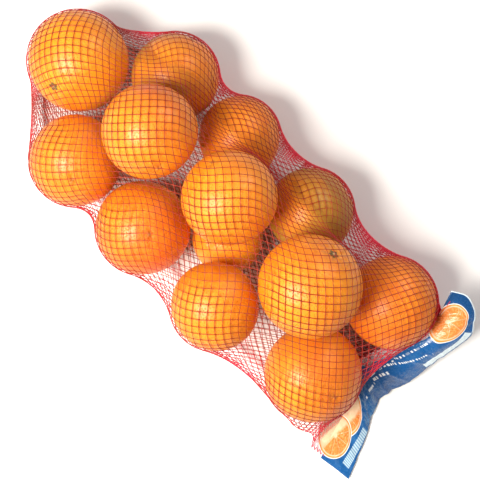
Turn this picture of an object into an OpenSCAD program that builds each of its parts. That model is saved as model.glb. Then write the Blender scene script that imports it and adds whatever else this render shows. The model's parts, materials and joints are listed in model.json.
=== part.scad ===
// Net bag of oranges with a film header.
// A knitted tube holds thirteen oranges in two layers. One end is gathered into a tail under a
// crimped clip. The other is drawn flat and laminated between the two films of a printed header.
// +X runs along the bag towards the header, +Y across it and +Z up. The bag lies on z = 0.

/* [Net] */
// Thickness of the skin that stands for the knitted net
net_wall = 1.2; // [0.9:0.1:1.5]
// How much of that skin is pressed flat where the bag lies on a surface
base_press = 0.4; // [0.2:0.1:0.6]
// Clearance between the fruit and the net
net_gap = 1.4; // [1.3:0.1:2]
// Points round the net's cross-section
net_sides = 48; // [40:8:56]
// Distance between the net's cross-sections along the bag
ring_step = 9; // [8:1:10]

/* [Fruit] */
// Least space between two oranges
fruit_gap = 0.5; // [0.4:0.1:0.8]
// Diameter of a stem button
button_d = 9; // [6:0.5:12]
// Thickness of a stem button
button_t = 1.8; // [1.2:0.1:2.5]
// How far a button's top lies below the round of the peel
button_sunk = 0.6; // [0.5:0.1:1.2]

/* [Closed end] */
// Diameter of the gathered net where the clip crimps it
rope_d = 4; // [3:0.5:5]
// Width of the clip along the gathered net
clip_w = 4.5; // [3:0.5:6]
// Size of the clip across the gathered net
clip_size = 7; // [6:0.5:8]
// Width of the fanned tail beyond the clip
tail_w = 15; // [10:1:20]

/* [Header] */
// Length of the flat mouth and of the header that closes it
header_len = 172; // [160:1:176]
// Height of the flat mouth above the surface
mouth_z = 20; // [18:1:24]
// Thickness of one film
film_t = 0.4; // [0.3:0.05:0.5]
// Space between the laminated net edge and each film
film_gap = 0.1; // [0.08:0.02:0.2]
// Thickness of the net edge that is laminated between the films
edge_t = 0.6; // [0.5:0.05:0.8]
// Width of that laminated edge
edge_w = 12; // [8:1:16]
// How far the films rise between the mouth and the outer edge
film_arch = 3; // [2:0.5:4]

/* [Hidden] */
$fn = 48;

// Each orange: x, y and diameter, 0 if it lies at the bottom or 1 if it rests on those below,
// then the direction of its stem as degrees round Z from +X and degrees above the XY plane.
ORANGES = [
    [-182,   8, 83, 0,  -80,  40],
    [-118,  55, 73, 0,  110,  10],
    [ -95,   8, 76, 1,  150, -30],
    [-127, -51, 76, 0,  140, -60],
    [ -49, -51, 78, 0,  190, -75],
    [ -15,  15, 76, 1,  -20, -35],
    [ -46,  57, 69, 0,   60, -20],
    [  38,  55, 73, 0,   75,   5],
    [  78,  11, 83, 1,  102,  37],
    [  37, -53, 72, 1, -100, -15],
    [ 137,  49, 77, 0,   40, -30],
    [ 133, -37, 81, 0,  181, -55],
    [ 5.5,  -8, 60, 0,   60, -60]
];
COUNT = len(ORANGES);

// The outer edge of the header, from one end to the other: how far it lies beyond the mouth,
// and its height above the surface.
EDGE_REACH = [[-1, 39], [-0.5, 25], [-0.05, 12], [0.5, 17], [1, 22]];
EDGE_HEIGHT = [[-1, 3], [0.3, 3], [0.7, 13], [1, 24]];

first = 0;
last = 10;
mouth_x = 185;
hinge_x = mouth_x + 1.5;
film_x = hinge_x + 0.4;
film_low = edge_t / 2 + film_gap;
film_width = 44;
film_steps = 28;
film_rows = 6;
steepest = 85;
tilts = [for (a = [-steepest:5:steepest]) tan(a)];
headings = [for (a = [0:7.5:352.5]) a];

function radius(i) = ORANGES[i][2] / 2;
function centre_xy(i) = [ORANGES[i][0], ORANGES[i][1]];
function apart(i, j) = norm(centre_xy(i) - centre_xy(j));
function touching(i, j) = radius(i) + radius(j) + fruit_gap;
function bottom_z(i) = radius(i) + net_gap + net_wall - base_press;
function height_on(i, j) = bottom_z(j) + sqrt(pow(touching(i, j), 2) - pow(apart(i, j), 2));
function under(i) = [for (j = [0:COUNT - 1]) if (ORANGES[j][3] == 0 && apart(i, j) < touching(i, j)) j];
function centre_z(i) = ORANGES[i][3] == 0 ? bottom_z(i) : max([for (j = under(i)) height_on(i, j)]);
function centre(i) = [ORANGES[i][0], ORANGES[i][1], centre_z(i)];

// The net is the taut envelope of the oranges and its flat mouth. Each body it wraps is a ball.
function balls(skin) = concat(
    [for (i = [0:COUNT - 1]) [centre(i), radius(i) + net_gap + skin]],
    [for (s = [-1, 1]) [[mouth_x, s * (header_len / 2 - 2), mouth_z], 0.5 + skin]]
);

// For one heading round the bag, the offset of the tangent line at each tilt.
function tangent_offsets(b, heading) = [
    for (t = tilts)
        max([for (k = b) k[0][1] * cos(heading) + k[0][2] * sin(heading) - t * k[0][0] + k[1] * sqrt(1 + t * t)])
];

// How far the envelope reaches at x in one heading, from the tangent lines of that heading.
function reach_at(x, offsets) = min([for (k = [0:len(tilts) - 1]) tilts[k] * x + offsets[k]]);

// A point inside every cross-section, and the proportions that space the points round it.
function inside_y(x) = lookup(x, [[-225, 8], [-150, 6], [-100, 0], [mouth_x, 0]]);
function inside_z(x) = lookup(x, [[-225, 43], [-150, 42], [120, 40], [mouth_x, mouth_z]]);
function squat(x) = lookup(x, [[110, 0.9], [172, 0.6], [mouth_x - 2, 0.06], [mouth_x, 0.02]]);

// One cross-section: the envelope cut at x, as points round it.
function section(x, table) =
    let (cy = inside_y(x), cz = inside_z(x))
    let (reach = [for (k = [0:len(headings) - 1])
        reach_at(x, table[k]) - cy * cos(headings[k]) - cz * sin(headings[k])])
    [for (n = [0:net_sides - 1])
        let (turn = 360 * n / net_sides)
        let (way = atan2(squat(x) * sin(turn), cos(turn)))
        let (r = min([for (k = [0:len(headings) - 1])
            let (lean = cos(headings[k] - way))
            if (lean > 0.05) reach[k] / lean]))
        [x, cy + r * cos(way), cz + r * sin(way)]
    ];

// Where the cross-sections lie: close together round the two ends, evenly spaced between them.
function stations(skin) =
    let (nose = radius(first) + net_gap + skin, front = radius(last) + net_gap + skin)
    concat(
        [for (a = [20:20:80]) ORANGES[first][0] - nose * cos(a)],
        [for (x = [ORANGES[first][0]:ring_step:ORANGES[last][0]]) x],
        [for (a = [8:14:78]) ORANGES[last][0] + front * sin(a)],
        [mouth_x]
    );

function sheet(skin) =
    let (b = balls(skin), table = [for (a = headings) tangent_offsets(b, a)])
    [for (x = stations(skin)) section(x, table)];

// Triangles between ring a and ring a + 1 of n points each, facing out, or in when flipped.
function band(a, n, flipped) = [
    for (k = [0:n - 1])
        let (p = a * n + k, q = a * n + (k + 1) % n)
        each flipped ? [[p, q + n, q], [p, p + n, q + n]] : [[p, q, q + n], [p, q + n, p + n]]
];

function fan(tip, start, n, flipped) = [
    for (k = [0:n - 1])
        let (p = start + k, q = start + (k + 1) % n)
        flipped ? [tip, p, q] : [tip, q, p]
];

function flatten(lists) = [for (l = lists) each l];

// The skin: an outer and an inner envelope, joined round the mouth and closed over the first orange.
module net_skin() {
    outer = sheet(net_wall);
    inner = sheet(0);
    n = net_sides;
    rings = len(outer);
    tip_z = centre_z(first);
    tip_out = [ORANGES[first][0] - radius(first) - net_gap - net_wall, ORANGES[first][1], tip_z];
    points = concat(flatten(outer), flatten(inner), [tip_out, tip_out + [net_wall, 0, 0]]);
    faces = concat(
        [for (a = [0:rings - 2]) each band(a, n, true)],
        [for (a = [rings:2 * rings - 2]) each band(a, n, false)],
        [for (k = [0:n - 1])
            let (p = (rings - 1) * n + k, q = (rings - 1) * n + (k + 1) % n)
            each [[p, q + rings * n, q], [p, p + rings * n, q + rings * n]]],
        fan(2 * rings * n, 0, n, true),
        fan(2 * rings * n + 1, rings * n, n, false)
    );
    polyhedron(points, faces, convexity = 8);
}

module net_sleeve() {
    color([0.86, 0.12, 0.22])
    difference() {
        net_skin();
        translate([-300, -150, -10]) cube([600, 300, 10]);
    }
}

// Turns the Z axis to an orange's stem, from the orange's centre.
module at_stem(i) {
    translate(centre(i)) rotate([0, 90 - ORANGES[i][5], ORANGES[i][4]]) children();
}

module orange(i) {
    pocket = button_t + button_sunk;
    color([0.98, 0.56, 0.1])
    difference() {
        translate(centre(i)) sphere(r = radius(i));
        at_stem(i) translate([0, 0, radius(i) - pocket]) cylinder(d = button_d + 0.4, h = pocket + 5);
    }
}

module stem_button(i) {
    color([0.45, 0.5, 0.2])
    at_stem(i) translate([0, 0, radius(i) - button_t - button_sunk]) {
        cylinder(d = button_d, h = button_t * 0.6);
        cylinder(d = button_d * 0.5, h = button_t);
    }
}

// The gathered end lies under the overhang of the first orange.
rope_x = ORANGES[first][0] - 32;
rope_z = 6;
tail_x = rope_x - clip_w;

module along_x(x) {
    translate([x, ORANGES[first][1], rope_z]) rotate([0, -90, 0]) children();
}

module net_tail() {
    color([0.8, 0.1, 0.2])
    difference() {
        union() {
            hull() {
                along_x(rope_x + 0.5) cylinder(d = rope_d, h = 0.5);
                translate([rope_x + 10, ORANGES[first][1], rope_z + 6]) sphere(d = rope_d * 2.5);
            }
            along_x(rope_x) cylinder(d = rope_d, h = clip_w);
            hull() {
                along_x(tail_x) cylinder(d = rope_d, h = 0.5);
                translate([tail_x - 4.5, ORANGES[first][1] - tail_w / 2, rope_z - 2.5]) cube([0.8, tail_w, 4]);
            }
        }
        translate(centre(first)) sphere(r = radius(first) + net_gap + net_wall + 0.3, $fn = 96);
    }
}

module end_clip() {
    color([0.75, 0.76, 0.78])
    difference() {
        along_x(rope_x) linear_extrude(clip_w)
            offset(r = 1) square(clip_size - 2, center = true);
        along_x(rope_x + 1) cylinder(d = rope_d, h = clip_w + 2);
    }
}

// A point of the header's middle surface: u runs -1 to 1 along the mouth, v from 0 at it to 1.
function header_point(u, v) = [
    film_x + v * lookup(u, EDGE_REACH),
    u * header_len / 2,
    mouth_z + v * (lookup(u, EDGE_HEIGHT) - mouth_z) + film_arch * sin(180 * v) * (1 - u * u)
];

// A sheet that follows the header from v = 0 to v = reach, between two heights above its middle.
module header_sheet(low, high, reach) {
    n = film_steps;
    m = film_rows;
    row = m + 1;
    grid = [for (i = [0:n]) for (j = [0:m]) header_point(2 * i / n - 1, reach * j / m)];
    up = len(grid);
    points = concat([for (p = grid) p + [0, 0, low]], [for (p = grid) p + [0, 0, high]]);
    cells = [for (i = [0:n - 1]) for (j = [0:m - 1]) i * row + j];
    rim = concat(
        [for (j = [0:m - 1]) j],
        [for (i = [0:n - 1]) i * row + m],
        [for (j = [m:-1:1]) n * row + j],
        [for (i = [n:-1:1]) i * row]
    );
    faces = concat(
        [for (c = cells) each [[c, c + 1, c + row + 1], [c, c + row + 1, c + row]]],
        [for (c = cells) each [[up + c, up + c + row + 1, up + c + 1], [up + c, up + c + row, up + c + row + 1]]],
        [for (k = [0:len(rim) - 1])
            let (a = rim[k], b = rim[(k + 1) % len(rim)])
            each [[a, up + a, b], [b, up + a, up + b]]]
    );
    polyhedron(points, faces, convexity = 6);
}

module header_front_film() {
    color([0.15, 0.4, 0.7]) header_sheet(film_low, film_low + film_t, 1);
}

module header_back_film() {
    color([0.8, 0.85, 0.9]) header_sheet(-film_low - film_t, -film_low, 1);
}

module sealed_net_edge() {
    color([0.8, 0.15, 0.3]) header_sheet(-edge_t / 2, edge_t / 2, edge_w / film_width);
}

net_sleeve();
net_tail();
end_clip();
header_front_film();
header_back_film();
sealed_net_edge();
for (i = [0:COUNT - 1]) {
    orange(i);
    stem_button(i);
}
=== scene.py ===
"""Net bag of oranges with a printed film header, seen from above on a plain pale floor.

The knitted net is draped over the fruit by a small deterministic solver in numpy: its threads keep
their length, the fruit and the floor push them out, and the gathered end and the film hold them.
Everything is in metres, in the CAD frame: +X along the bag to the header, +Z up from the floor.
"""
import json
import math

import bpy
import numpy as np
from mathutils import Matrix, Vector


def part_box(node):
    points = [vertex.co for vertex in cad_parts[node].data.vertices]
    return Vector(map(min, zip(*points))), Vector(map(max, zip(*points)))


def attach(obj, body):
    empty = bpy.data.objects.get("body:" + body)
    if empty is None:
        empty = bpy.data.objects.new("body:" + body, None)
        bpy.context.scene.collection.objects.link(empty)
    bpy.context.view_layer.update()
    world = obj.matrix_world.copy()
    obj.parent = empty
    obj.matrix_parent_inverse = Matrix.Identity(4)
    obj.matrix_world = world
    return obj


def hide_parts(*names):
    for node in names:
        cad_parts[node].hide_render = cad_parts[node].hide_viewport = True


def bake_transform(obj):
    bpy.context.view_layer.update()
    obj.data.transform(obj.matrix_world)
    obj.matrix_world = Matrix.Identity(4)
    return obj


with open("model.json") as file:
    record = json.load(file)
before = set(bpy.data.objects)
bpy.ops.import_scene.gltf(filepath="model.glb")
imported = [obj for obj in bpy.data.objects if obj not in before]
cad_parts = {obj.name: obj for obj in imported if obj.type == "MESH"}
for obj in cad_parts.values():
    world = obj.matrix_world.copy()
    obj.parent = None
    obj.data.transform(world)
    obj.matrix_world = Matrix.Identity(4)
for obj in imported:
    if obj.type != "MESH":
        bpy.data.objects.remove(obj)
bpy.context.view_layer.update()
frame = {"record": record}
MM = 0.001

# The camera's place.
CAMERA = (0.014, -0.002, 1.0)
# What both lights are aimed at.
LIT = (0, 0, 0.03)

# The net's thread, how far its knots keep from the peel, and the middle line of the bag.
THREAD_R = 0.25 * MM
SKIN = 2 * THREAD_R
MIDDLE = np.array([0, 4, 38]) * MM


# ---- camera, light and floor

def put(name, data):
    obj = bpy.data.objects.new(name, data)
    bpy.context.collection.objects.link(obj)
    return obj


def add_camera():
    """Straight down from a metre above, turned so that the bag lies on the picture's diagonal."""
    camera = put("camera", bpy.data.cameras.new("camera"))
    camera.data.lens = 88
    camera.data.sensor_width = 36
    camera.data.clip_start = 0.05
    camera.location = CAMERA
    camera.rotation_euler = (0, 0, math.radians(45))
    bpy.context.scene.camera = camera
    bpy.context.scene.view_settings.view_transform = "Standard"


def add_area_light(name, place, size, watts, colour):
    light = put(name, bpy.data.lights.new(name, "AREA"))
    light.data.shape = "DISK"
    light.data.size = size
    light.data.energy = watts
    light.data.color = colour
    light.location = place
    light.rotation_euler = (Vector(LIT) - light.location).to_track_quat("-Z", "Y").to_euler()


def picture(right, up, height):
    """A place given by the picture's own right and up, in metres from the camera's foot."""
    r = math.sqrt(0.5)
    return (CAMERA[0] + (right - up) * r, CAMERA[1] + (right + up) * r, height)


def add_lights():
    add_area_light("key", picture(-0.57, -0.22, 0.97), 0.6, 28, (1.0, 0.95, 0.86))
    add_area_light("fill", picture(0.8, 0.9, 0.8), 0.8, 9, (1.0, 0.97, 0.94))
    world = bpy.data.worlds.new("studio")
    world.use_nodes = True
    sky = world.node_tree.nodes["Background"]
    sky.inputs["Color"].default_value = (1.0, 0.99, 0.98, 1)
    sky.inputs["Strength"].default_value = 0.34
    bpy.context.scene.world = world


def add_floor():
    mesh = bpy.data.meshes.new("floor")
    half = 3.0
    corners = [(-half, -half, 0), (half, -half, 0), (half, half, 0), (-half, half, 0)]
    mesh.from_pydata(corners, [], [(0, 1, 2, 3)])
    floor = put("floor", mesh)
    paint = Paint("floor_paint")
    tone = paint.noise(paint.place(), 3, 2)
    base = paint.ramp(tone, (0.3, (0.84, 0.84, 0.84)), (0.7, (0.87, 0.87, 0.87)))
    paint.set(Base_Color=base, Roughness=0.8, Specular_IOR_Level=0.1)
    mesh.materials.append(paint.material)


# ---- procedural materials

class Paint:
    """A node material round one Principled shader, with short names for the nodes it is built of."""

    def __init__(self, name):
        self.material = bpy.data.materials.new(name)
        self.material.use_nodes = True
        self.tree = self.material.node_tree
        self.shader = self.tree.nodes["Principled BSDF"]

    def plug(self, socket, value):
        """Links a socket's value, or sets a number or colour on the socket itself."""
        if isinstance(value, bpy.types.NodeSocket):
            self.tree.links.new(value, socket)
        elif isinstance(value, tuple):
            opaque = len(value) == 3 and len(socket.default_value) == 4
            socket.default_value = (*value, 1) if opaque else value
        else:
            socket.default_value = value

    def node(self, kind, inputs=None, **settings):
        """A node with these settings and, by name or number, these inputs."""
        made = self.tree.nodes.new(kind)
        for key, value in settings.items():
            setattr(made, key, value)
        for key, value in (inputs or {}).items():
            self.plug(made.inputs[key], value)
        return made

    def set(self, **values):
        """Sets the shader's inputs, each named with _ for a space."""
        for name, value in values.items():
            self.plug(self.shader.inputs[name.replace("_", " ")], value)

    def place(self):
        return self.node("ShaderNodeTexCoord").outputs["Object"]

    def attribute(self, name, output="Fac"):
        return self.node("ShaderNodeAttribute", attribute_name=name).outputs[output]

    def noise(self, place, scale, detail, roughness=0.5, distortion=0.0):
        inputs = {"Vector": place, "Scale": scale, "Detail": detail,
                  "Roughness": roughness, "Distortion": distortion}
        return self.node("ShaderNodeTexNoise", inputs).outputs["Fac"]

    def cells(self, place, scale):
        """The distance to the nearest of many scattered points."""
        made = self.node("ShaderNodeTexVoronoi", {"Vector": place, "Scale": scale})
        return made.outputs["Distance"]

    def moved(self, place, scale=(1, 1, 1), by=(0, 0, 0)):
        """The place scaled and then shifted."""
        inputs = {"Vector": place, "Location": by, "Scale": scale}
        return self.node("ShaderNodeMapping", inputs).outputs["Vector"]

    def math(self, operation, *values, clamp=False):
        inputs = dict(enumerate(values))
        return self.node("ShaderNodeMath", inputs, operation=operation, use_clamp=clamp).outputs[0]

    def times(self, a, b):
        return self.math("MULTIPLY", a, b)

    def scaled(self, value, by, plus):
        return self.math("MULTIPLY_ADD", value, by, plus)

    def between(self, value, low, high):
        """Rises smoothly from 0 at low to 1 at high, or falls if high is the smaller."""
        inputs = {"Value": value, "From Min": low, "From Max": high}
        made = self.node("ShaderNodeMapRange", inputs, interpolation_type="SMOOTHSTEP")
        return made.outputs["Result"]

    def ramp(self, value, *stops):
        """A colour for each value, from stops of (value, colour)."""
        made = self.node("ShaderNodeValToRGB", {"Fac": value})
        points = made.color_ramp.elements
        while len(points) < len(stops):
            points.new(0.5)
        for point, (place, colour) in zip(points, stops):
            point.position = place
            point.color = (*colour, 1)
        return made.outputs["Color"]

    def blend(self, share, a, b):
        """Colour a where share is 0, colour b where it is 1."""
        return self.node("ShaderNodeMix", {"Factor": share, 6: a, 7: b}, data_type="RGBA").outputs[2]

    def bump(self, height, depth, strength, under=None):
        """Adds a bump of that depth in metres, and returns the normal for the next one."""
        inputs = {"Height": height, "Distance": depth, "Strength": strength}
        if under is not None:
            inputs["Normal"] = under
        normal = self.node("ShaderNodeBump", inputs).outputs["Normal"]
        self.set(Normal=normal)
        return normal


# ---- meshes

def add_mesh(name, points, faces, material):
    """A smooth-shaded object from an array of points and an array of quads."""
    count, corners = faces.shape
    mesh = bpy.data.meshes.new(name)
    mesh.vertices.add(len(points))
    mesh.vertices.foreach_set("co", np.asarray(points, np.float32).ravel())
    mesh.loops.add(count * corners)
    mesh.loops.foreach_set("vertex_index", faces.astype(np.int32).ravel())
    mesh.polygons.add(count)
    mesh.polygons.foreach_set("loop_start", np.arange(count, dtype=np.int32) * corners)
    mesh.update(calc_edges=True)
    mesh.validate()
    mesh.polygons.foreach_set("use_smooth", np.ones(len(mesh.polygons), bool))
    mesh.materials.append(material)
    return put(name, mesh)


def add_value(obj, name, values):
    """A float per point, which a material reads."""
    layer = obj.data.attributes.new(name, "FLOAT", "POINT")
    layer.data.foreach_set("value", np.asarray(values, np.float32).ravel())


def lengths(vectors):
    return np.linalg.norm(vectors, axis=-1, keepdims=True)


def unit(vectors, least=1e-9):
    """The vectors at length 1, or shorter where they are shorter than least."""
    return vectors / np.maximum(lengths(vectors), least)


def turns(count):
    """Angles evenly spaced once round."""
    return np.arange(count) / count * 2 * math.pi


def turned_to(axis):
    """The rotation that takes +Z to axis, as numpy."""
    return np.array(Vector(axis).to_track_quat("Z", "Y").to_matrix())


def grid_faces(rows, columns, closed):
    """Quads of a grid of points; closed joins the last column to the first."""
    across = columns if closed else columns - 1
    i, j = np.meshgrid(np.arange(rows - 1), np.arange(across), indexing="ij")
    after = (j + 1) % columns
    here, beyond = i * columns, (i + 1) * columns
    return np.stack([here + j, here + after, beyond + after, beyond + j], -1).reshape(-1, 4)


# ---- the fruit

JOINTS = {j["name"]: j for j in frame["record"]["behaviour"]["joints"]}
FRUIT = range(1, 14)
# Every orange's centre, stem line and radius, with orange 1 first.
CENTRES = np.array([JOINTS[f"orange_{n}_turn"]["pos_m"] for n in FRUIT], float)
STEMS = np.array([JOINTS[f"orange_{n}_turn"]["axis"] for n in FRUIT], float)
RADII = np.array([max(high - low) / 2 for low, high in (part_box(f"orange_{n}") for n in FRUIT)])

# For each peel: how green, how much red blush and how yellow, from 0 to 1.
PEEL = [
    (0, 0.1, 1), (1, 0.1, 0.5), (0, 0.5, 0.7), (0.15, 0.3, 0.45), (0.1, 0.5, 0.45), (0, 0.3, 0.8),
    (0.25, 0.2, 0.5), (1, 0.1, 0.6), (0.05, 0.5, 0.9), (0.45, 0.3, 0.65), (0, 1, 0.1),
    (0.05, 0.8, 0.8), (0, 0.2, 0.9),
]


def peel_material(n):
    """Dimpled peel with a soft gloss, its own share of green, blush and yellow, and painted shade in
    its pores.
    """
    greenness, redness, yellowness = PEEL[n - 1]
    paint = Paint(f"peel_{n}")
    place = paint.moved(paint.place(), by=(0.31 * n, 0.17 * n, 0.23 * n))
    mottle = paint.noise(place, 60, 4, 0.6)
    wide = paint.noise(place, 14, 2, 0.5)
    warm = 0.215 + 0.06 * yellowness
    base = paint.ramp(
        mottle, (0.30, (0.75, warm - 0.045, 0.008)), (0.52, (0.78, warm - 0.005, 0.011)),
        (0.72, (0.81, warm + 0.035, 0.015)))
    blush = paint.between(wide, 0.62 - 0.25 * redness, 0.85 - 0.2 * redness)
    base = paint.blend(paint.times(blush, 0.6), base, (0.66, 0.095, 0.012))
    patch = paint.noise(place, 11, 3, 0.55, 0.4)
    green = paint.between(patch, 0.70 - 0.30 * greenness, 0.86 - 0.26 * greenness)
    base = paint.blend(paint.times(green, 0.75 * greenness), base, (0.27, 0.165, 0.020))
    pores = paint.cells(place, 620)
    pit = paint.between(pores, 0.10, 0.42)
    pore_shade = paint.math("SUBTRACT", 1.0, pit)
    # Painted shade: the pores' pits are tinted darker and redder.
    base = paint.blend(paint.times(pore_shade, 0.22), base, (0.66, 0.13, 0.005))
    scar = paint.attribute("scar")
    base = paint.blend(scar, base, (0.19, 0.085, 0.022))
    fleck = paint.between(paint.noise(place, 160, 3, 0.7), 0.70, 0.76)
    base = paint.blend(paint.times(fleck, 0.25), base, (0.45, 0.17, 0.03))
    rough = paint.scaled(paint.noise(place, 90, 2), 0.16, 0.34)
    paint.set(
        Base_Color=base, Roughness=paint.scaled(scar, 0.3, rough), Specular_IOR_Level=0.36,
        Subsurface_Weight=0.3, Subsurface_Radius=(1.0, 0.22, 0.06), Subsurface_Scale=0.007,
        Coat_Weight=0.05, Coat_Roughness=0.25)
    swell = paint.bump(paint.noise(place, 130, 2, 0.5), 0.0012, 0.45)
    paint.bump(pit, 0.00045, 0.8, swell)
    return paint.material


def orange_radius(polar, turn, n, radius):
    """How far the peel lies from the centre, at an angle from the stem and a turn round it.

    It has a stem hollow with furrows, a navel and gentle unevenness. Widths are in radians.
    """
    navel = math.pi - polar
    squash = 1 - 0.028 * np.cos(polar) ** 2
    hollow = 2.6 * MM * np.exp(-(polar / 0.16) ** 2)
    furrow = 0.55 * MM * np.exp(-((polar - 0.22) / 0.17) ** 2) * (0.5 + 0.5 * np.cos(9 * turn + n))
    dent = 1.5 * MM * np.exp(-(navel / 0.13) ** 2) * (1 + 0.25 * np.cos(3 * turn + 2 * n))
    bud = 1.0 * MM * np.exp(-(navel / 0.045) ** 2)
    lumps = 0.35 * MM * (
        np.sin(2 * turn + n) * np.sin(polar) ** 2 * np.cos(2 * polar + 0.7 * n)
        + 0.6 * np.cos(3 * turn - 1.3 * n) * np.sin(polar) ** 3
    )
    return (radius - 0.55 * MM) * squash - hollow - furrow - dent + bud + lumps


def add_orange(n):
    """The peel of one orange, as rings of points from its stem to its navel."""
    centre, stem, radius = CENTRES[n - 1], STEMS[n - 1], RADII[n - 1]
    across, down = 128, 84
    margin = 0.02
    polar = np.linspace(margin, math.pi - margin, down)
    turn = turns(across)
    p, t = np.meshgrid(polar, turn, indexing="ij")
    r = orange_radius(p, t, n, radius)
    skin = np.stack([r * np.sin(p) * np.cos(t), r * np.sin(p) * np.sin(t), r * np.cos(p)], -1)
    skin = skin.reshape(-1, 3)
    ends = np.array([[0, 0, orange_radius(0.0, 0.0, n, radius)],
                     [0, 0, -orange_radius(math.pi, 0.0, n, radius)]])
    k = np.arange(across)
    after = (k + 1) % across
    row = (down - 1) * across
    stem_fan = np.stack([k, after, np.full(across, len(skin))], 1)
    navel_fan = np.stack([row + after, row + k, np.full(across, len(skin) + 1)], 1)
    points = np.vstack([skin, ends]) @ turned_to(stem).T
    quads = grid_faces(down, across, True)[:, ::-1]
    faces = quads.tolist() + stem_fan.tolist() + navel_fan.tolist()
    mesh = bpy.data.meshes.new(f"peel_{n}")
    mesh.from_pydata(points.tolist(), [], faces)
    mesh.polygons.foreach_set("use_smooth", [True] * len(mesh.polygons))
    mesh.materials.append(peel_material(n))
    obj = put(f"peel_{n}", mesh)
    from_navel = np.concatenate([math.pi - p.ravel(), [math.pi, 0]])
    add_value(obj, "scar", np.exp(-(from_navel / 0.05) ** 2) * 0.75)
    obj.location = centre
    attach(obj, f"orange_{n}")
    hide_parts(f"orange_{n}")


def stem_material():
    """Dry green-brown calyx with a paler woody middle."""
    paint = Paint("stem_wood")
    place = paint.place()
    grain = paint.noise(place, 900, 4, 0.65)
    base = paint.ramp(
        grain, (0.25, (0.06, 0.035, 0.010)), (0.5, (0.14, 0.085, 0.022)), (0.75, (0.26, 0.16, 0.05)))
    base = paint.blend(paint.attribute("wood"), base, (0.50, 0.30, 0.13))
    paint.set(Base_Color=base, Roughness=0.75)
    paint.bump(grain, 0.0003, 0.8)
    return paint.material


def add_stem(n, material):
    """A five-lobed calyx with the broken end of the stalk, seated in the stem hollow."""
    centre, stem, radius = CENTRES[n - 1], STEMS[n - 1], RADII[n - 1]
    across = 60
    turn = turns(across)
    lobes = 1 + 0.22 * np.cos(5 * turn + n) + 0.06 * np.cos(11 * turn)
    # Rings from the stalk's end out and back beneath: the share of the reach, the height above
    # the hollow's floor in mm, how woody and how lobed.
    profile = [
        (0.02, 1.55, 1, 0), (0.16, 1.6, 1, 0), (0.24, 1.45, 1, 0), (0.27, 0.9, 0.5, 0.1),
        (0.45, 0.75, 0, 0.4), (0.75, 0.62, 0, 0.8), (0.97, 0.30, 0, 1), (1.0, 0.05, 0, 1),
        (0.9, -0.5, 0, 1), (0.02, -0.7, 0, 0),
    ]
    reach = 3.4 * MM
    floor = orange_radius(0.0, 0.0, n, radius)
    rings = []
    for share, height, _, lobed in profile:
        r = share * reach * (1 + (lobes - 1) * lobed)
        lift = height * MM + 0.55 * MM * (share ** 2) * lobed
        level = np.full(across, floor + lift)
        rings.append(np.stack([r * np.cos(turn), r * np.sin(turn), level], -1))
    points = np.array(rings).reshape(-1, 3) @ turned_to(stem).T
    faces = grid_faces(len(profile), across, True)[:, ::-1]
    obj = add_mesh(f"calyx_{n}", points, faces, material)
    add_value(obj, "wood", np.repeat([woody for _, _, woody, _ in profile], across))
    obj.location = centre
    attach(obj, f"orange_{n}")
    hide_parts(f"stem_button_{n}")


def push_out(points, gap):
    """Moves points nearer to a fruit than gap, or in the floor, out to the nearest free place.

    Says which points touched a fruit.
    """
    touching = np.zeros(points.shape[:-1], bool)
    for centre, radius in zip(CENTRES, RADII):
        away = points - centre
        distance = np.sqrt((away ** 2).sum(-1))
        hit = distance < radius + gap
        stretch = (radius + gap) / np.maximum(distance[hit], 1e-6)
        points[hit] = centre + away[hit] * stretch[:, None]
        touching |= hit
    points[..., 2] = np.maximum(points[..., 2], THREAD_R)
    return touching


# ---- the header's films

# The films' width and length, their thickness, and how far their middle keeps from the peel.
FILM_W = 46 * MM
FILM_L = 188 * MM
FILM_T = 0.12 * MM
FILM_CLEAR = 1.8 * MM
# Millimetres of film to one unit of its UV layer.
FILM_UNIT = 200
FILM_ACROSS = np.array([0, 15, 31, 46]) * MM
# Stations along the header from its -Y end, and points at FILM_ACROSS from its inner edge, under
# the fruit's overhang, to its outer edge.
FILM_STATIONS = np.array([0, 20, 41, 61, 80, 97, 111, 125, 138, 151, 164, 175, 182, 188]) * MM
FILM_POINTS = np.array([
    [[182, -86, 5], [195, -84, 4.5], [208.5, -82, 4], [223, -80.5, 3]],
    [[172, -62, 8], [187, -62, 7], [202, -63.5, 5], [216.5, -65.5, 3]],
    [[167, -42, 12], [181, -41.5, 11], [195, -42, 8], [207, -43, 3]],
    [[159, -23, 18], [172.5, -22.5, 17], [186, -24.5, 11], [198, -27, 3]],
    [[154, -3, 25], [167, -4, 20], [181, -5, 14], [194, -5, 3]],
    [[158, 13, 30], [171, 13, 25], [186, 12.5, 21], [199, 11, 9]],
    [[163, 24, 32], [176, 24.5, 28], [189, 26, 24], [200.5, 27, 13]],
    [[167, 36, 31], [179, 37, 33], [191, 39, 29], [201.5, 41, 18]],
    [[170, 47, 28], [181, 49, 36], [193, 51, 35], [203, 56, 25]],
    [[172, 57, 25], [180, 60, 38], [193, 67, 42], [204.3, 75, 34]],
    [[173, 64, 24], [178, 67.5, 39], [188.5, 77.5, 46], [197, 86, 40]],
    [[173.5, 67, 24], [176, 71, 39], [183, 84, 46.5], [188.5, 93.5, 44]],
    [[174, 68, 24], [174.5, 71.5, 39], [175, 85, 47.5], [176, 96.3, 48]],
    [[174, 69, 24], [172, 71, 38], [167.5, 81, 47.5], [163.8, 90, 50.5]],
]) * MM
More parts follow.
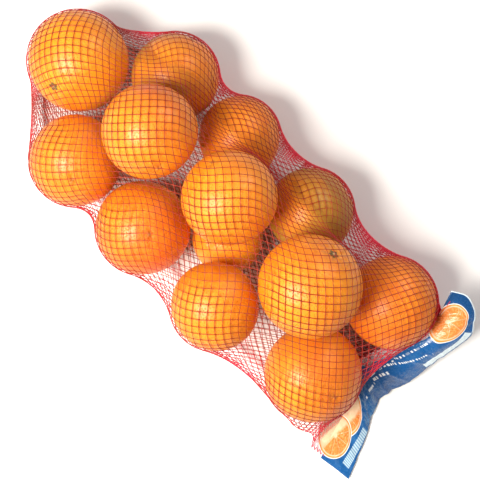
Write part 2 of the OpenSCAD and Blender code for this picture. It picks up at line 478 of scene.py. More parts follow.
# Creases across the film: where, how slanted, how deep and how wide, in mm.
CREASES = [
    (12, 0.35, 0.4, 2), (27, -0.3, 0.4, 1.6), (44, 0.5, 0.5, 1.5), (52, 0.3, -0.5, 1.5),
    (63, -0.5, 0.6, 1.5), (70, 0.1, -0.6, 1.4), (90, 0.45, 0.6, 1.6), (99, -0.2, -0.5, 1.5),
    (112, 0.5, 0.5, 1.6), (124, 0.2, -0.4, 1.8), (141, -0.35, 0.5, 1.6), (157, 0.4, 0.4, 1.8),
    (172, -0.2, 0.5, 2),
]


def spline(places, values, at):
    """Catmull-Rom through values at rising places, along the first axis."""
    slopes = np.empty_like(values)
    shape = (-1,) + (1,) * (values.ndim - 1)
    gaps = np.diff(places)
    steps = np.diff(values, axis=0) / gaps.reshape(shape)
    slopes[1:-1] = (steps[1:] + steps[:-1]) / 2
    slopes[0], slopes[-1] = steps[0], steps[-1]
    k = np.clip(np.searchsorted(places, at, side="right") - 1, 0, len(gaps) - 1)
    t = ((at - places[k]) / gaps[k]).reshape(shape)
    g = gaps[k].reshape(shape)
    return ((1 + 2 * t) * (1 - t) ** 2 * values[k] + t * (1 - t) ** 2 * g * slopes[k]
            + t * t * (3 - 2 * t) * values[k + 1] + t * t * (t - 1) * g * slopes[k + 1])


def film_surface(s, d):
    """The creased middle of the films on the grid of s along by d across, with its normals."""
    smooth = np.stack([spline(FILM_ACROSS, row, d) for row in spline(FILM_STATIONS, FILM_POINTS, s)])
    push_out(smooth, FILM_CLEAR)
    along = np.gradient(smooth, s, axis=0)
    across = np.gradient(smooth, d, axis=1)
    normal = unit(np.cross(across, along))
    normal *= np.sign(normal[..., 2:3] + 1e-3)
    # Lifts along the normal, in mm: gathers at the sealed edge, a kink up beside one down, creases
    # and a shallow ripple.
    ss, dd = np.meshgrid(s / MM, d / MM, indexing="ij")
    gather = 0.55 * np.exp(-dd / 9) * np.sin(ss * 0.95 + 1.3 * np.sin(ss * 0.21))
    kink = 1.6 * np.exp(-((ss - 80 - 0.12 * (46 - dd)) / 2.2) ** 2) * dd / 46
    kink -= 1.0 * np.exp(-((ss - 73 + 0.10 * (46 - dd)) / 3.0) ** 2) * dd / 46
    creases = np.zeros_like(ss)
    for place, lean, depth, width in CREASES:
        offset = ss - place - lean * (dd - 23)
        creases += depth * np.exp(-(offset / width) ** 2)
    ripple = 0.4 * np.sin(ss * 0.33 + 0.6 * np.sin(dd * 0.2)) * np.sin(dd * 0.21 + ss * 0.07)
    lift = (gather + kink + creases + ripple) * MM
    return smooth + normal * lift[..., None], normal


# The creased middle of the films and its normals on a grid of 1 mm, for the net that lies in it.
SHEET_GRID = np.linspace(0, FILM_L, 189), np.linspace(0, FILM_W, 47)
SHEET = np.concatenate(film_surface(*SHEET_GRID), axis=-1)


def film_middle(s, d):
    """The creased middle of the films and its normal, for pairs of s and d."""
    rows, columns = SHEET.shape[:2]
    u = np.clip(s / FILM_L, 0, 1) * (rows - 1)
    v = np.clip(d / FILM_W, 0, 1) * (columns - 1)
    i = np.minimum(u.astype(int), rows - 2)
    j = np.minimum(v.astype(int), columns - 2)
    u, v = (u - i)[:, None], (v - j)[:, None]
    near = SHEET[i, j] * (1 - v) + SHEET[i, j + 1] * v
    far = SHEET[i + 1, j] * (1 - v) + SHEET[i + 1, j + 1] * v
    found = near * (1 - u) + far * u
    return found[:, :3], found[:, 3:]


def film_sheet(name, material, above):
    """One film as a thin closed sheet on one side of the net edge; the two meet at the seals."""
    s = np.linspace(0, FILM_L, 300)
    d = np.linspace(0, FILM_W, 72)
    middle, normal = film_surface(s, d)
    ss, dd = np.meshgrid(s, d, indexing="ij")
    near_end = np.minimum(ss, FILM_L - ss) / (6 * MM)
    near_rim = (FILM_W - dd) / (22 * MM)
    gap = (0.12 + 0.55 * np.clip(near_end, 0, 1) * np.clip(near_rim, 0, 1)) * MM
    sign = 1 if above else -1
    outer = middle + normal * (sign * (gap + FILM_T))[..., None]
    inner = middle + normal * (sign * gap)[..., None]
    points = np.concatenate([outer, inner]).reshape(-1, 3)
    points[:, 2] = np.maximum(points[:, 2], 0.3 * MM)
    rows, columns = ss.shape
    top = grid_faces(rows, columns, False)
    half = rows * columns
    rim = np.concatenate([
        np.arange(columns), np.arange(2, rows + 1) * columns - 1,
        np.arange(half - 2, half - columns - 1, -1), np.arange(rows - 2, 0, -1) * columns])
    after = np.roll(rim, -1)
    sides = np.stack([rim, rim + half, after + half, after], 1)
    faces = np.concatenate([top, top[:, ::-1] + half, sides])
    obj = add_mesh(name, points, faces[:, ::-1] if above else faces, material)
    uv = obj.data.uv_layers.new(name="film")
    flat = np.tile(np.stack([ss.ravel(), dd.ravel()], 1) / MM, (2, 1))
    corner = np.empty(len(obj.data.loops), np.int32)
    obj.data.loops.foreach_get("vertex_index", corner)
    uv.data.foreach_set("uv", (flat[corner] / FILM_UNIT).astype(np.float32).ravel())
    return obj


# ---- the net

# The side of a cell, the cells round the tube, and the steps of square cells.
CELL = 6.0 * MM
COLUMNS = 84
ROW_STEP = CELL / math.sqrt(2)
COLUMN_STEP = CELL * math.sqrt(2)
# How much thicker a knot is than its threads.
KNOT_SWELL = 1.4
# The columns are counted from the ridge, the top of the bag, at this Y.
RIDGE_Y = 9 * MM
# The neck that the clip holds: place, radius, step between rows, and the length round that its
# columns are spaced for.
NECK = np.array([-214, 8, 6]) * MM
NECK_R = 1.8 * MM
NECK_STEP = 1.5 * MM
NECK_ROUND = 280 * MM
# Rows of knots: in the neck, over the first orange, from the body to the films, and in the films.
NECK_ROWS = 3
CAP_ROWS = 25
MOUTH_ROWS = 12
SEALED_ROWS = 8
SEALED_STEP = 1.8 * MM
# How far the net's edge runs on round the header's curled end, how far its two layers lie from
# the middle of the films (in mm), and how far they keep from the peel.
LIP_CURL = 20 * MM
LIP_LIFT = 0.2
LIP_CLEAR = 1.3 * MM
BODY_START = CENTRES[0][0]
BODY_END = 150 * MM
# How crowded the spare net is on the way round from the ridge (0) by the +Y flank (0.5), the
# bottom (1) and the -Y flank (1.5): near the gathered end, then along the rest of the bag.
# Between the two x of CROWD_TURNS the first table gives way to the second.
CROWDS = [
    np.array([[0, 0], [0.36, 0], [0.46, 1.2], [0.56, 1.2], [0.75, 2], [1.25, 2], [1.5, 0.8],
              [1.6, 0], [2, 0]]),
    np.array([[0, 0], [0.26, 0], [0.37, 3.4], [0.56, 3.4], [0.68, 1], [0.78, 2.6], [1.1, 2.6],
              [1.2, 0.3], [1.6, 0], [2, 0]]),
]
CROWD_TURNS = np.array([-135, -105]) * MM
# How hard the net is drawn in between the fruit on the -Y flank and on the +Y one: x in mm, then
# how hard low down and high up. Below 0 the net is pushed out.
DRAWN_IN = [
    np.array([[-215, -0.15, -0.1], [-170, -0.2, -0.1], [-150, 0, 0.2], [-130, 0.1, 0.2],
              [-90, 0.4, 0.3], [-10, 0.4, 0.3], [40, 0.2, 0.3], [85, 0.2, 0.2],
              [110, 0.15, 0.1], [135, -0.2, 0], [152, -1.8, -1], [170, -2.5, -1.5]]),
    np.array([[-200, 0, 0], [-130, 0, 0], [-100, 0.3, 0.2], [-85, 0.5, 0.4],
              [-40, 0.4, 0.3], [-5, 0.2, 0.2], [30, 0.3, 0.3], [90, 0.35, 0.4],
              [125, 0.1, 0.1], [150, -0.5, -0.5], [175, -1, -1]]),
]
# The settling: its rounds, and the share of them after which the net comes to rest. Per round,
# before that and after: how far the net is drawn in, in mm, and how often the threads' lengths
# are set. SINK is how far it sinks, in mm.
ROUNDS = 400
REST_FROM = 0.85
DRAW, REST_DRAW = 0.12, 0.012
PASSES, REST_PASSES = 3, 6
SINK = 0.03
# Directions round the bag and tilts from its length, for the hull, and the places on its rings.
HEADINGS = np.radians(np.arange(0, 360, 5.0))
TILTS = np.tan(np.radians(np.arange(-85, 86, 2.5)))
WAYS = math.pi / 2 - np.linspace(0, 2 * math.pi, 361)


def hull_offsets(balls):
    """For balls (x, y, z, r): the offset of the hull's tangent line per heading and tilt."""
    c, r = balls[:, :3], balls[:, 3]
    across = c[:, 1, None] * np.cos(HEADINGS) + c[:, 2, None] * np.sin(HEADINGS)
    grown = r[:, None, None] * np.sqrt(1 + TILTS ** 2)
    reach = across[:, :, None] - c[:, 0, None, None] * TILTS + grown
    return reach.max(axis=0)


def hull_ring(x, offsets):
    """The hull's outline at x, from the ridge round by +Y: points (y, z) and their arc length."""
    inside_z = 40 * MM
    reach = (TILTS * x + offsets).min(axis=1)
    reach = reach - RIDGE_Y * np.cos(HEADINGS) - inside_z * np.sin(HEADINGS)
    lean = np.cos(HEADINGS[None] - WAYS[:, None])
    r = np.where(lean > 0.05, reach[None] / np.maximum(lean, 0.05), 1e9).min(axis=1)
    ring = np.stack([RIDGE_Y + r * np.cos(WAYS), inside_z + r * np.sin(WAYS)], axis=1)
    along = np.concatenate([[0], np.cumsum(np.linalg.norm(np.diff(ring, axis=0), axis=1))])
    return ring, along


def way_round(row, length, x):
    """Each column's place round a ring of that length, 0 at the ridge to 2: true spacing on top."""
    way = np.linspace(0, 2, 401)
    share = np.interp(x, CROWD_TURNS, [0, 1])
    crowd = sum(w * np.interp(way, *table.T) for w, table in zip((1 - share, share), CROWDS))
    extra = (COLUMNS * COLUMN_STEP / length - 1) / crowd.mean()
    density = np.maximum(1 + extra * crowd, 0.3)
    used = np.concatenate([[0], np.cumsum((density[1:] + density[:-1]) / 2)])
    u = (np.arange(COLUMNS) + 0.5 * (row % 2)) / COLUMNS
    return np.interp(u, used / used[-1], way)


def lip_place(row, d):
    """The knots of one row that lies in the header, d from the film's inner edge.

    At the +Y end the header is curled, and the net's edge follows on along the film's end.
    """
    way = way_round(row, 2 * FILM_L, BODY_END)
    on_top = (way < 0.5) | (way > 1.5)
    s = 0.5 + np.where(way < 0.5, way, np.where(way < 1.5, 1 - way, way - 2))
    # The edge starts 1 mm inside the film's -Y end and turns 2 mm before its curled one.
    s = 1 * MM + s * (FILM_L + LIP_CURL - 3 * MM)
    past_end = np.maximum(s - (FILM_L - 2 * MM), 0)
    place, normal = film_middle(s - past_end, d + past_end)
    place = place + normal * np.where(on_top, LIP_LIFT, -LIP_LIFT)[:, None] * MM
    push_out(place, LIP_CLEAR)
    return place


def start_net():
    """The net before it settles: knots [row, column] on the hull of the fruit, end to end."""
    grown = np.column_stack([CENTRES, RADII + SKIN])
    lip = FILM_POINTS[:, 0]
    offsets = hull_offsets(np.vstack([grown, np.column_stack([lip, np.full(len(lip), MM)])]))
    xs = np.linspace(BODY_START, BODY_END, 400)
    top = np.array([hull_ring(x, offsets)[0][0, 1] for x in xs])
    along = np.concatenate([[0], np.cumsum(np.hypot(np.diff(xs), np.diff(top)))])
    body_rows = int(round(along[-1] / ROW_STEP))
    stations = np.interp(np.linspace(0, along[-1], body_rows + 1), along, xs)

    def on_ring(x, row):
        ring, length = hull_ring(x, offsets)
        a = way_round(row, length[-1], x) / 2 * length[-1]
        y, z = np.interp(a, length, ring[:, 0]), np.interp(a, length, ring[:, 1])
        return np.stack([np.full(COLUMNS, x), y, z], 1)

    def neck(row, x):
        turn = way_round(row, NECK_ROUND, x) * math.pi
        y, z = NECK[1] + NECK_R * np.sin(turn), NECK[2] + NECK_R * np.cos(turn)
        return np.stack([np.full(COLUMNS, x), y, z], 1)

    rows = [neck(k, NECK[0] - (NECK_ROWS - k) * NECK_STEP) for k in range(NECK_ROWS)]
    # Over the first orange the rows swing round its centre from the neck to the first ring.
    for k in range(CAP_ROWS):
        row = len(rows)
        t = 1 - k / CAP_ROWS
        a = on_ring(stations[0], row) - CENTRES[0]
        b = neck(row, NECK[0]) - CENTRES[0]
        la, lb = lengths(a), lengths(b)
        angle = np.arccos(np.clip((a / la * b / lb).sum(1, keepdims=True), -1, 1))
        way = (np.sin((1 - t) * angle) * a / la + np.sin(t * angle) * b / lb) / np.sin(angle)
        rows.append(CENTRES[0] + way * (la + (lb - la) * t))
    for x in stations:
        rows.append(on_ring(x, len(rows)))
    for k in range(1, MOUTH_ROWS + 1):
        row = len(rows)
        t = k / MOUTH_ROWS
        rows.append((1 - t) * on_ring(BODY_END, row) + t * lip_place(row, 0))
    return np.array(rows)


def bonds_of(rows):
    """The threads between rows in four sets: slices of rows a and b, and a shift of b's columns."""
    sets = []
    for start, shifts in ((0, (0, 1)), (1, (-1, 0))):
        n = (rows - start) // 2
        for shift in shifts:
            sets.append((slice(start, start + 2 * n, 2), slice(start + 1, start + 2 * n, 2), shift))
    return sets


def drawn_in(net):
    """How hard each knot is drawn in towards the middle of the bag, from DRAWN_IN."""
    up = np.clip((net[..., 2] / MM - 45) / 25, 0, 1)
    flank = np.clip(net[..., 1] / (80 * MM) + 0.5, 0, 1)
    total = 0
    for table, share in zip(DRAWN_IN, (1 - flank, flank)):
        x, low, high = table.T
        at_low = np.interp(net[..., 0] / MM, x, low)
        at_high = np.interp(net[..., 0] / MM, x, high)
        total = total + share * (at_low + (at_high - at_low) * up)
    return total


def settle(net):
    """Position-based relaxation: threads keep their length, the net hugs the fruit and the floor."""
    rows = len(net)
    level = np.arange(rows)[:, None, None]
    from_end = rows - 2 - level
    free = np.ones((rows, 1, 1))
    free[:NECK_ROWS + 1] = 0
    free[-1] = 0
    # By row: how much a slack thread pushes back, how much a knot moves to the middle of its
    # neighbours, and how much of the drawing in it feels.
    springy = np.clip((level - NECK_ROWS - 4) / 14, 0, 1)
    springy = 0.04 * springy * np.clip((from_end - 1) / 12, 0.1, 1)
    soft = 0.03 + 0.03 * np.clip((12 - from_end) / 6, 0, 1) + 0.1 * np.clip((18 - level) / 8, 0, 1)
    hold = np.clip((level - 4) / 8, 0, 1) * np.clip(from_end / 3, 0, 1)
    bonds = bonds_of(rows)
    for k in range(ROUNDS):
        before = net.copy()
        resting = k > ROUNDS * REST_FROM
        pull = MIDDLE - net
        pull[..., 0] = 0
        pull = unit(pull, 5 * MM)
        strength = drawn_in(net)[..., None] * hold * (REST_DRAW if resting else DRAW) * MM
        net += free * (pull * strength + np.array([0, 0, -SINK * MM]))
        for _ in range(REST_PASSES if resting else PASSES):
            for a, b, shift in bonds:
                pa, pb = net[a], np.roll(net[b], shift, axis=1)
                d = pb - pa
                length = np.sqrt((d ** 2).sum(-1, keepdims=True))
                off = 1 - CELL / np.maximum(length, 1e-7)
                open_cell = np.clip((length / CELL - 0.35) / 0.4, 0, 1)
                off = np.where(off > 0, off, off * springy[a] * open_cell)
                total = np.maximum(free[a] + free[b], 1e-6)
                net[a] = pa + d * off * free[a] / total
                net[b] = np.roll(pb - d * off * free[b] / total, -shift, axis=1)
        mean = np.zeros_like(net)
        slack = np.zeros((rows, COLUMNS, 1))
        count = np.zeros((rows, 1, 1))
        for a, b, shift in bonds:
            pa, pb = net[a], np.roll(net[b], shift, axis=1)
            short = np.clip(0.95 - lengths(pb - pa) / CELL, 0, 0.5)
            mean[a] += pb
            mean[b] += np.roll(pa, -shift, axis=1)
            slack[a] += short
            slack[b] += np.roll(short, -shift, axis=1)
            count[a] += 1
            count[b] += 1
        net += free * np.minimum(soft + slack / count, 0.5) * (mean / count - net)
        touching = push_out(net, SKIN)
        net = np.where(touching[..., None], before + (net - before) * 0.6, net)
        push_out(net, SKIN)
    return net


def tubes(lines, radius, keep, outward=None):
    """Square tubes along the kept steps of lines [line, point, xyz], each run closed by two caps.

    The radius is a number per point. Smooth shading rounds them: a thread is thinner than a pixel.
    """
    tangent = unit(np.gradient(lines, axis=1))
    if outward is None:
        outward = lines - MIDDLE
        outward[..., 0] = 0
    side = unit(np.cross(tangent, outward))
    up = np.cross(side, tangent)
    turn = np.arange(4) * math.pi / 2
    ring = np.cos(turn)[:, None] * up[..., None, :] + np.sin(turn)[:, None] * side[..., None, :]
    points = (lines[..., None, :] + ring * radius[..., None, None]).reshape(-1, 3)
    k = np.arange(4)

    def ring_at(line, step):
        return ((line * lines.shape[1] + step) * 4)[:, None] + k

    line, step = np.nonzero(keep)
    here, after = ring_at(line, step), ring_at(line, step + 1)
    walls = np.stack([here, after, np.roll(after, -1, 1), np.roll(here, -1, 1)], -1).reshape(-1, 4)
    padded = np.pad(keep, ((0, 0), (1, 1)))
    first = ring_at(*np.nonzero(keep & ~padded[:, :-2]))
    last = ring_at(*np.nonzero(keep & ~padded[:, 2:])) + 4
    faces = np.concatenate([walls, first, last[:, ::-1]])
    used, faces = np.unique(faces, return_inverse=True)
    return points[used], faces.reshape(-1, 4)


def net_material():
    """Crimson knitted polyethylene thread: glossy, faintly twisted, a little uneven in colour, with
    painted light and shade: dark where it lies on the peel or in a hollow, bright in the open.
    """
    paint = Paint("net_thread")
    place = paint.place()
    tone = paint.noise(place, 45, 3, 0.6)
    fine = paint.noise(place, 1500, 2, 0.5)
    # Painted light and shade: a lit and a dim copy of the thread's crimson, mixed by each point's
    # share of painted light.
    lit = paint.ramp(
        tone, (0.3, (0.72, 0.010, 0.045)), (0.55, (0.84, 0.016, 0.065)), (0.8, (0.92, 0.035, 0.10)))
    dim = paint.ramp(
        tone, (0.3, (0.20, 0.020, 0.006)), (0.55, (0.28, 0.030, 0.009)), (0.8, (0.38, 0.042, 0.012)))
    base = paint.blend(paint.attribute("thread_light_share"), dim, lit)
    base = paint.blend(paint.times(fine, 0.35), base, (0.30, 0.006, 0.015))
    paint.set(Base_Color=base, Roughness=0.42, Specular_IOR_Level=0.25)
    paint.bump(fine, 0.0001, 0.6)
    return paint.material


def thread_light_share(points):
    """The share of painted light on a thread: from 0, painted shade over peel or in a dark hollow, to
    1, painted light low in the open or on a flank.
    """
    distance = np.array([np.linalg.norm(points - c, axis=1) for c in CENTRES])
    gaps = distance - RADII[:, None]
    nearest = gaps.argmin(axis=0)
    each = np.arange(len(points))
    gap = gaps[nearest, each]
    # Low down, out on a flank or near an end, light reaches the thread from the side.
    low = np.clip((85 * MM - points[:, 2]) / (30 * MM), 0.2, 1)
    outside = np.clip((np.abs(points[:, 1]) - 45 * MM) / (20 * MM), 0, 1)
    ends = np.interp(points[:, 0] / MM, [-200, -180, 135, 155], [1, 0, 0, 1])
    low *= np.clip(outside + ends, 0.12, 1)
    # The same holds on the steep outer side of an orange, more so on the +Y flank.
    rise = (points[:, 2] - CENTRES[nearest, 2]) / distance[nearest, each]
    flank = np.interp(points[:, 1] / MM, [-60, 40], [0.4, 0.9]) * np.clip((0.48 - rise) / 0.4, 0, 1)
    flank *= np.clip(outside + ends, 0.1, 1)
    return np.maximum(np.clip((gap - 2 * MM) / (9 * MM), 0, 1) * low, flank)


def add_net():
    """The settled net and its edge in the films, thread by thread, as an upper and a lower half."""
    material = net_material()
    net = settle(start_net())
    sealed = [lip_place(len(net) + k, (k + 1) * SEALED_STEP) for k in range(SEALED_ROWS)]
    net = np.concatenate([net, np.array(sealed)])
    rows = len(net)
    row = np.arange(rows)
    start = np.arange(COLUMNS)[:, None]
    upper, lower = [], []
    # The threads that lean one way, then those that lean the other.
    for column in ((start + row // 2) % COLUMNS, (start - (row + 1) // 2) % COLUMNS):
        knots = net[row, column]
        # A cubic curve through the knots gives the points halfway.
        first, last = 2 * knots[:, :1] - knots[:, 1:2], 2 * knots[:, -1:] - knots[:, -2:-1]
        longer = np.concatenate([first, knots, last], 1)
        halfway = (9 * (longer[:, 1:-2] + longer[:, 2:-1]) - longer[:, :-3] - longer[:, 3:]) / 16
        line = np.empty((COLUMNS, 2 * rows - 1, 3))
        line[:, ::2], line[:, 1::2] = knots, halfway
        push_out(line[:, 2 * NECK_ROWS:-2 * SEALED_ROWS], SKIN)
        radius = np.where(np.arange(2 * rows - 1) % 2 == 0, KNOT_SWELL, 1.0) * THREAD_R
        on_top = (column < COLUMNS / 4) | (column >= 3 * COLUMNS / 4)
        on_top = np.repeat(on_top[:, :-1], 2, axis=1)
        for keep, group in ((on_top, upper), (~on_top, lower)):
            group.append(tubes(line, np.broadcast_to(radius, line.shape[:2]), keep))
    for name, group in (("net_over_fruit", upper), ("net_under_fruit", lower)):
        (pa, fa), (pb, fb) = group
        points = np.vstack([pa, pb])
        obj = add_mesh(name, points, np.vstack([fa, fb + len(pa)]), material)
        add_value(obj, "thread_light_share", thread_light_share(points))
        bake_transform(obj)
        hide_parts("net_sleeve")


def add_tail():
    """The cut end of the net beyond the clip: a short flattened tuft of threads."""
    count, length = 44, 14
    rng = np.random.default_rng(5)
    turn = turns(count)[:, None]
    t = np.linspace(0, 1, length)[None]
    spread = rng.uniform(0.75, 1.1, count)[:, None]
    reach = rng.uniform(4.2, 5.6, count)[:, None]
    sway = rng.uniform(-1, 1, (count, 2))
    ring_r = NECK_R * (0.35 + 0.65 * rng.random(count))[:, None]
    start_x = NECK[0] - NECK_ROWS * NECK_STEP
    # The threads start 0.6 mm inside the neck, in its ring, and fan out flat towards the floor.
    x = start_x + (0.6 - t * (reach + 0.6)) * MM
    fan = t ** 1.3
    y = NECK[1] + ring_r * np.sin(turn) * (1 - fan) + fan * 7 * MM * np.sin(turn) * spread
    y += 0.5 * MM * np.sin(5 * t) * sway[:, :1]
    z = NECK[2] + ring_r * np.cos(turn) * (1 - fan)
    z += fan * (-2.6 + 2.2 * np.cos(turn) * spread) * MM + 0.3 * MM * np.sin(7 * t) * sway[:, 1:]
    line = np.stack([x, y, np.maximum(z, 0.5 * MM)], -1)
    push_out(line, SKIN)
    outward = np.broadcast_to([0.0, 0.0, 1.0], line.shape)
    every = np.ones((count, length - 1), bool)
    points, faces = tubes(line, np.full(line.shape[:2], THREAD_R), every, outward)
    obj = add_mesh("tail_tuft", points, faces, bpy.data.materials["net_thread"])
    add_value(obj, "thread_light_share", thread_light_share(points))
    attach(obj, "bag")
    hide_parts("net_tail")


def clip_material():
    """Soft aluminium, brushed along the band and dulled in uneven patches."""
    paint = Paint("clip_aluminium")
    place = paint.place()
    lines = paint.noise(paint.moved(place, scale=(0.15, 1, 1)), 2600, 2, 0.5)
    wear = paint.noise(place, 500, 4, 0.6)
    base = paint.ramp(wear, (0.3, (0.50, 0.51, 0.53)), (0.7, (0.72, 0.73, 0.75)))
    paint.set(Base_Color=base, Metallic=0.9, Roughness=paint.scaled(wear, 0.3, 0.22))
    paint.bump(lines, 0.00006, 0.7)
    return paint.material


def add_clip():
    """A flat aluminium band wrapped round the neck and crimped, its two ends lapped on top."""
    low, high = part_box("end_clip")
    centre = (np.array(low) + np.array(high)) / 2
    width = high[0] - low[0]
    half = (high[1] - low[1]) / 2
    steps = 72
    turn = np.linspace(-0.08, 2 * math.pi + 0.30, steps) + math.pi / 2
    thick = 0.9 * MM
    lap = np.clip((turn - turn[0] - 2 * math.pi + 0.1) / 0.25, 0, 1) * thick
    # A rounded square, pinched at mid width and opposite the lap.
    square = (np.abs(np.cos(turn)) ** 5 + np.abs(np.sin(turn)) ** 5) ** (-1 / 5)
    r = (half - thick) * square
    crimp = 0.25 * MM * np.exp(-((turn - turn[0] - math.pi) / 0.5) ** 2)
    # The band's cross-section: the share of its half width, then of its thickness.
    rim = [(-1, 0.15), (-0.93, 0), (0.93, 0), (1, 0.15), (1, 0.85), (0.93, 1), (-0.93, 1), (-1, 0.85)]
    rings = []
    for along, depth in rim:
        pinch = 1 - 0.10 * (1 - along ** 2)
        out = (r - crimp) * pinch + depth * thick + lap
        x = np.full(steps, centre[0] + along * width / 2)
        y, z = centre[1] + out * np.cos(turn), centre[2] + out * np.sin(turn)
        rings.append(np.stack([x, y, z], -1))
    points = np.array(rings).transpose(1, 0, 2).reshape(-1, 3)
    faces = grid_faces(steps, len(rim), True)
    caps = np.array([[0, 1, 6, 7], [1, 2, 5, 6], [2, 3, 4, 5]])
    faces = np.concatenate([faces, caps, caps[:, ::-1] + (steps - 1) * len(rim)])
    obj = add_mesh("crimped_clip", points, faces, clip_material())
    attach(obj, "bag")
    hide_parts("end_clip")


# ---- the films' print

# All in mm, s along the film and d across it.
# Generic citrus slices: centre, radius, parts, turn in radians and squeeze along the film.
SLICES = [
    ((41, 14), 19.8, 10, 0.2, 1),
    ((20.5, 16), 17.5, 9, 0.7, 1),
    ((164.5, 20.5), 17.5, 10, 0.5, 0.72),
]
# Slanted rows of plain dashes of uneven length: start (s, d), end (s, d), half the row's height.
DASH_ROWS = [
    (104, 15, 138, 17.9, 1.3),
    (95, 18.7, 131, 31.9, 1.2),
    (79, 24.9, 92, 25.6, 1.6),
    (63, 29.2, 78, 28, 1.3),
    (79, 20.5, 102, 17.5, 0.7),
]
# Between which places along the film the blue's inner edge moves, and how far.
EDGE_SHIFTS = [(34, 52, -12), (74, 84, 10), (128, 143, 3), (148, 156, -14)]


def fruit_slice(paint, s, d, centre, radius, segments, turn, squeeze, pale):
    """A generic citrus slice printed at centre: its cover, and its colour."""
    x = paint.times(paint.math("SUBTRACT", s, centre[0]), squeeze)
    y = paint.math("SUBTRACT", d, centre[1])
    r = paint.math("SQRT", paint.math("ADD", paint.times(x, x), paint.times(y, y)))
    share = paint.math("DIVIDE", r, radius)
    angle = paint.math("ADD", paint.math("ARCTAN2", y, x), turn)
    part = paint.math("FRACT", paint.times(angle, segments / (2 * math.pi)))
    off_middle = paint.math("ABSOLUTE", paint.math("SUBTRACT", part, 0.5))
    from_wall = paint.times(paint.math("SUBTRACT", 0.5, off_middle), r)
    pulp = paint.between(from_wall, 0.12 * radius / 20, 0.26 * radius / 20)
    pulp = paint.times(pulp, paint.between(share, 0.86, 0.80))
    pulp = paint.times(pulp, paint.between(share, 0.08, 0.14))
    flesh = paint.noise(paint.attribute("film", "Vector"), 120, 4, 0.6)
    flesh = paint.ramp(
        flesh, (0.3, (0.60, 0.12, 0.02)), (0.5, (0.74, 0.22, 0.045)), (0.7, (0.84, 0.38, 0.13)))
    flesh = paint.blend(pale, flesh, (0.84, 0.58, 0.36))
    rind = paint.times(paint.between(share, 0.87, 0.90), paint.between(share, 0.97, 0.94))
    colour = paint.blend(pulp, (0.78, 0.52, 0.33), flesh)
    colour = paint.blend(rind, colour, (0.76, 0.24, 0.04))
    colour = paint.blend(paint.between(share, 0.945, 0.965), colour, (0.80, 0.82, 0.82))
    return paint.between(share, 1.0, 0.98), colour


def inside(paint, value, low, high):
    """1 between low and high, 0 outside, with an edge 0.3 mm soft."""
    soft = 0.15
    above = paint.between(value, low - soft, low + soft)
    return paint.times(above, paint.between(value, high + soft, high - soft))


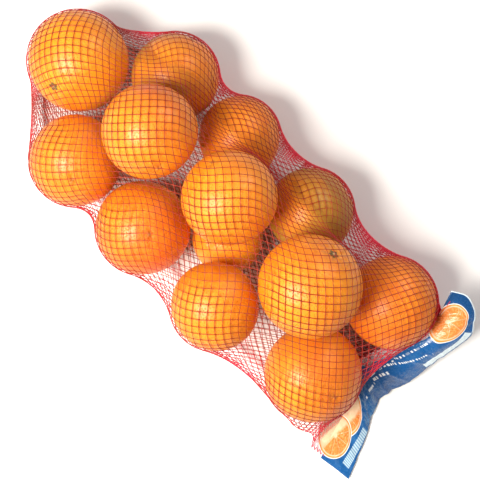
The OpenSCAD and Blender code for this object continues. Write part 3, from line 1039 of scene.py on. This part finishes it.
def film_paint(name, printed):
    """Glossy film: blue with generic slices, dashes and a striped panel, clear by the net, with a
    painted sheen of pale streaks on the ink.
    """
    paint = Paint(name)
    flat = paint.attribute("film", "Vector")
    split = paint.node("ShaderNodeSeparateXYZ", {0: flat})
    s = paint.times(split.outputs[0], FILM_UNIT)
    d = paint.times(split.outputs[1], FILM_UNIT)
    place = paint.place()
    creases = paint.noise(place, 150, 3, 0.6, 0.8)
    fine = paint.noise(place, 520, 2, 0.5)
    clear = paint.ramp(creases, (0.3, (0.78, 0.84, 0.88)), (0.7, (0.93, 0.95, 0.96)))
    if printed:
        ink = paint.ramp(
            paint.noise(place, 34, 3, 0.6), (0.25, (0.003, 0.045, 0.16)), (0.5, (0.006, 0.085, 0.28)),
            (0.8, (0.014, 0.13, 0.35)))
        wave = paint.times(paint.noise(flat, 40, 2), 1.5)
        clear_to = 13.5
        for start, end, shift in EDGE_SHIFTS:
            clear_to = paint.scaled(paint.between(s, start, end), shift, clear_to)
        inked = paint.math("SUBTRACT", paint.math("ADD", d, wave), clear_to)
        blue = paint.between(inked, -0.3, 0.3)
        # Painted sheen: pale streaks of reflected light on the ink, strongest beside the slices; then
        # a darker far end.
        sheen_streaks = paint.noise(paint.moved(flat, scale=(1, 0.35, 1)), 60, 4, 0.65, 1.2)
        sheen_reach = paint.times(paint.between(s, 36, 50), paint.between(s, 86, 64))
        sheen_reach = paint.scaled(sheen_reach, 0.6, 0.12)
        sheen = paint.times(paint.between(sheen_streaks, 0.42, 0.72), sheen_reach)
        ink = paint.blend(sheen, ink, (0.14, 0.27, 0.40))
        ink = paint.blend(paint.times(paint.between(s, 164, 180), 0.75), ink, (0.006, 0.050, 0.16))
        colour, cover = paint.blend(blue, clear, ink), blue
        for row, (start, d0, end, d1, half) in enumerate(DASH_ROWS):
            slope = (d1 - d0) / (end - start)
            off = paint.math("ADD", paint.scaled(s, -slope, d), slope * start - d0)
            dashes = paint.moved(flat, scale=(1, 0, 0), by=(0.7 * row, 0.37 * row, 0))
            on = paint.between(paint.noise(dashes, 130, 0), 0.49, 0.52)
            band = paint.times(inside(paint, off, -half, half), inside(paint, s, start, end))
            colour = paint.blend(paint.times(band, on), colour, (0.80, 0.84, 0.87))
        # The striped panel, then a pale strip and a pale rim.
        slanted = paint.scaled(s, -0.1, d)
        panel = paint.times(inside(paint, slanted, 33.7, 41.3), inside(paint, s, 8.5, 43.5))
        stripe = paint.between(paint.math("SINE", paint.times(s, 3.1)), -0.3, 0.5)
        light = paint.blend(stripe, (0.42, 0.56, 0.66), (0.16, 0.30, 0.46))
        colour = paint.blend(panel, colour, light)
        strip = paint.times(inside(paint, d, 38, 44.6), inside(paint, s, 117, 155))
        rim = paint.times(paint.between(d, 44.4, 45), paint.between(s, 152, 158))
        colour = paint.blend(paint.math("MAXIMUM", strip, rim), colour, (0.66, 0.78, 0.85))
        # How far past their limit towards the net: there the slices turn pale and end.
        past = paint.math("SUBTRACT", paint.scaled(s, -0.35, d), 3)
        past = paint.math("ADD", past, paint.times(paint.between(s, 60, 70), 80))
        past = paint.math("ADD", past, wave)
        pale = paint.between(past, 8, 4)
        thin = paint.scaled(pale, -0.35, 1)
        for printed_slice in SLICES:
            on, fruit = fruit_slice(paint, s, d, *printed_slice, pale)
            colour = paint.blend(on, colour, fruit)
            on = paint.times(on, paint.between(past, -0.8, 1.2))
            cover = paint.math("MAXIMUM", cover, paint.times(on, thin))
    else:
        colour, cover = clear, 0.12
    alpha = paint.math("MULTIPLY_ADD", cover, 0.75, 0.22, clamp=True)
    rough = paint.scaled(fine, 0.14, 0.20)
    paint.set(Base_Color=colour, Alpha=alpha, Roughness=rough, Specular_IOR_Level=0.38)
    swell = paint.bump(creases, 0.0020, 0.5)
    paint.bump(fine, 0.0003, 0.25, swell)
    return paint.material


def add_films():
    """The printed film on top of the net's edge and the clear one under it."""
    front = film_sheet("film_front", film_paint("printed_film", True), True)
    back = film_sheet("film_back", film_paint("clear_film", False), False)
    for film, slot, nodes in ((front, "printed_film", ("header_front_film", "sealed_net_edge")),
                              (back, "clear_film", ("header_back_film",))):
        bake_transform(film)
        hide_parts(*nodes)


# ---- the whole scene

add_camera()
add_lights()
add_floor()
calyx = stem_material()
for number in FRUIT:
    add_orange(number)
    add_stem(number, calyx)
add_net()
add_tail()
add_clip()
add_films()
